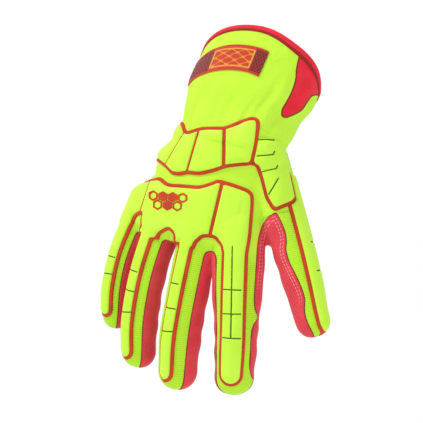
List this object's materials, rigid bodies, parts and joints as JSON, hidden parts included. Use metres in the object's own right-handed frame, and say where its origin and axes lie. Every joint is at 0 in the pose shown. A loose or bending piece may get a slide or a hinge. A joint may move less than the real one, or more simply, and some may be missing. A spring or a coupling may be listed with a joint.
{
  "type": "impact glove",
  "caption": "Right-hand work glove with a long slip-on cuff, moulded impact guards over the back of the hand, fingers and thumb, and a leather palm.",
  "frame": {"origin": "middle of the wrist, where the hand goes in; X=0, Y=0, Z=0 lies on the axis of the wrist's narrowest part", "axes": "+Z runs from the wrist out through the cuff's mouth, -Z towards the finger tips; -Y is the back of the hand, +Y the palm; +X is the thumb's side"},
  "size_m": [0.1898, 0.0733, 0.2803],
  "materials": {
    "lime_fabric": "smooth woven stretch fabric, bright lime",
    "lime_knit": "ribbed knit between the fingers, bright lime",
    "red_leather": "matt synthetic leather with a fine dotted grip",
    "red_trim": "red binding and cuff patch",
    "label_weave": "woven label with an orange middle and dark red ends",
    "red_rubber": "matt orange-red moulded thermoplastic rubber",
    "lime_rubber": "matt lime moulded thermoplastic rubber"
  },
  "bodies": {
    "root": {"cuff": "lime_fabric", "cuff_patch": "red_trim", "cuff_binding": "red_trim", "label": "label_weave", "back_panel": "lime_fabric", "palm_leather": "red_leather", "index_back": "lime_knit", "index_leather": "red_leather", "middle_back": "lime_knit", "middle_leather": "red_leather", "ring_back": "lime_knit", "ring_leather": "red_leather", "pinky_back": "lime_knit", "pinky_leather": "red_leather", "thumb_back": "lime_knit", "thumb_leather": "red_leather", "wrist_guard": "red_rubber", "wrist_pad_1": "lime_rubber", "wrist_pad_2": "lime_rubber", "wrist_pad_3": "lime_rubber", "wrist_pad_4": "lime_rubber", "back_guard": "red_rubber", "index_pad": "lime_rubber", "knuckle_pad": "lime_rubber", "thumb_base_guard": "red_rubber", "thumb_base_pad": "lime_rubber", "thumb_guard": "red_rubber", "thumb_pad": "lime_rubber", "emblem": "red_rubber"}
  },
  "joints": []
}
